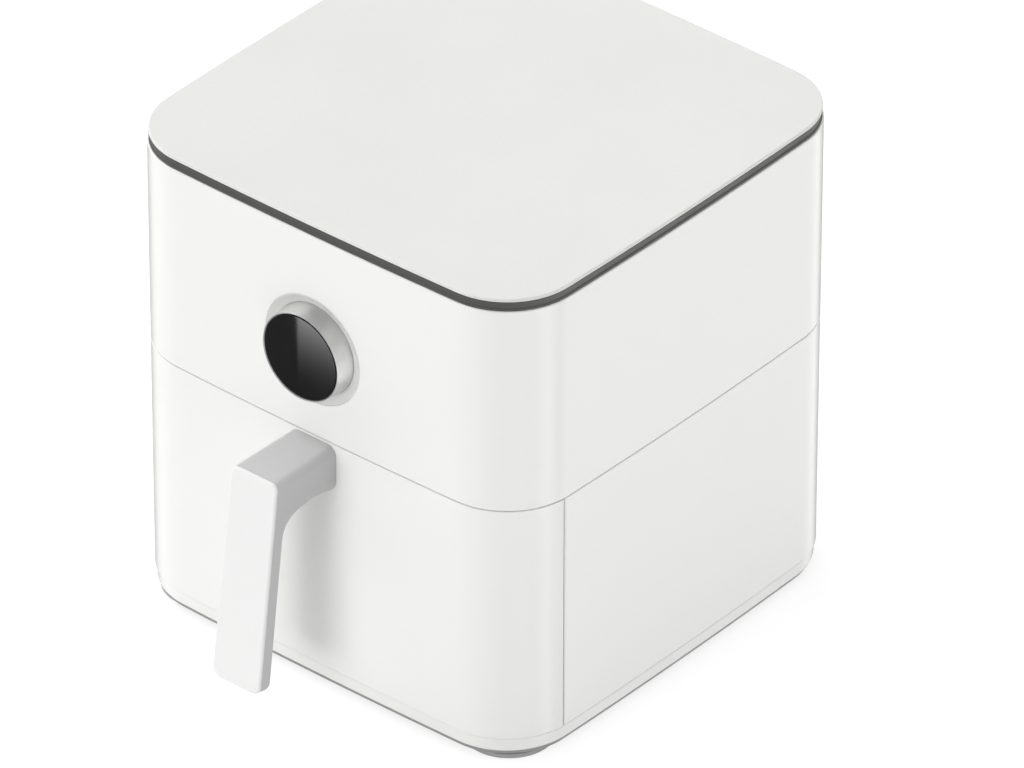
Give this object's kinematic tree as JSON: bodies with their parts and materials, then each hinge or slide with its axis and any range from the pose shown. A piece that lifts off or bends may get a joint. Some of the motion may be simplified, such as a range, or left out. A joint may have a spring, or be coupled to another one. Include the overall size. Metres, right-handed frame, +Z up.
{
  "type": "air fryer",
  "caption": "Rounded-square drawer air fryer with a hooked front handle, a metal ring dial round a glass display, a lift-out grill plate and a rear air outlet.",
  "frame": {"origin": "on the table under the middle of the overall box, handle and rear vent included", "axes": "+Z up, front and handle towards -Y, +X to the right seen from the front"},
  "size_m": [0.2954, 0.3974, 0.3081],
  "materials": {
    "white_gloss": "smooth glossy white ABS",
    "white_matte": "fine sand-blasted light grey-white",
    "handle_grey": "satin light grey",
    "handle_white": "satin white",
    "dark_plastic": "dark grey moulded plastic",
    "grey_rubber": "grey rubber",
    "bezel_grey": "satin silver-grey paint",
    "brushed_metal": "circular brushing",
    "sheet_steel": "plain sheet and bar",
    "black_glass": "polished, opaque black behind",
    "non_stick": "matte non-stick coating",
    "silicone": "matte silicone",
    "circuit_board": "solder mask"
  },
  "bodies": {
    "housing": {"upper_housing": "white_gloss", "lower_housing": "white_gloss", "base_skirt": "white_gloss", "top_cover": "white_matte", "rear_vent_cover": "white_matte", "intake_ring": "dark_plastic", "base_plate": "dark_plastic", "inner_frame": "dark_plastic", "deck": "dark_plastic", "cooling_shroud": "dark_plastic", "thermal_cutout": "dark_plastic", "drawer_switch": "dark_plastic", "foot_front_left": "grey_rubber", "foot_front_right": "grey_rubber", "foot_rear_left": "grey_rubber", "foot_rear_right": "grey_rubber", "drawer_rail_left": "grey_rubber", "drawer_rail_right": "grey_rubber", "cord_gland": "grey_rubber", "dial_bezel": "bezel_grey", "base_screw_front_left": "sheet_steel", "base_screw_front_right": "sheet_steel", "base_screw_rear_left": "sheet_steel", "base_screw_rear_right": "sheet_steel", "exhaust_duct": "sheet_steel", "heater_housing": "sheet_steel", "heater_guard": "sheet_steel", "heating_element": "sheet_steel", "motor_bracket": "sheet_steel", "fan_motor": "sheet_steel", "temperature_sensor": "sheet_steel", "dial_encoder": "sheet_steel", "power_board": "circuit_board", "control_board": "circuit_board"},
    "drawer": {"drawer_front": "white_gloss", "drawer_inner_panel": "dark_plastic", "handle_screw_left": "sheet_steel", "handle_screw_right": "sheet_steel", "drawer_pan": "non_stick", "pan_bracket": "sheet_steel", "handle": "handle_grey", "handle_front_cover": "handle_white"},
    "grill": {"grill_plate": "non_stick", "plate_bumper_front": "silicone", "plate_bumper_rear": "silicone", "plate_bumper_left": "silicone", "plate_bumper_right": "silicone"},
    "dial_core": {"display_glass": "black_glass", "display_carrier": "dark_plastic"},
    "dial_outer_ring": {"dial_ring": "brushed_metal"},
    "fan_rotor": {"motor_shaft": "sheet_steel", "hot_fan": "sheet_steel", "cooling_fan": "dark_plastic", "fan_nut": "sheet_steel"},
    "switch_pin": {"switch_plunger": "white_matte"}
  },
  "joints": [
    {"name": "drawer_slide", "type": "slide", "parent": "housing", "child": "drawer", "axis": [0, -1, 0], "range_m": [0, 0.26]},
    {"name": "grill_lift", "type": "slide", "parent": "drawer", "child": "grill", "axis": [0, 0, 1], "range_m": [0, 0.1]},
    {"name": "display_press", "type": "slide", "parent": "housing", "child": "dial_core", "axis": [0, 1, 0], "range_m": [0, 0.0008], "stiffness_N_per_m": 1500, "springref_m": -0.001},
    {"name": "dial_turn", "type": "hinge", "parent": "dial_core", "child": "dial_outer_ring", "pos_m": [0, -0.13116, 0.2253], "axis": [0, -1, 0], "continuous": true},
    {"name": "fan_spin", "type": "hinge", "parent": "housing", "child": "fan_rotor", "pos_m": [0, 0.01954, 0.2], "axis": [0, 0, 1], "continuous": true},
    {"name": "switch_travel", "type": "slide", "parent": "housing", "child": "switch_pin", "axis": [0, -1, 0], "range_m": [0, 0.0026]}
  ],
  "couplings": [
    {"joint": "switch_travel", "follows": "drawer_slide", "ratio": 0.0096}
  ]
}
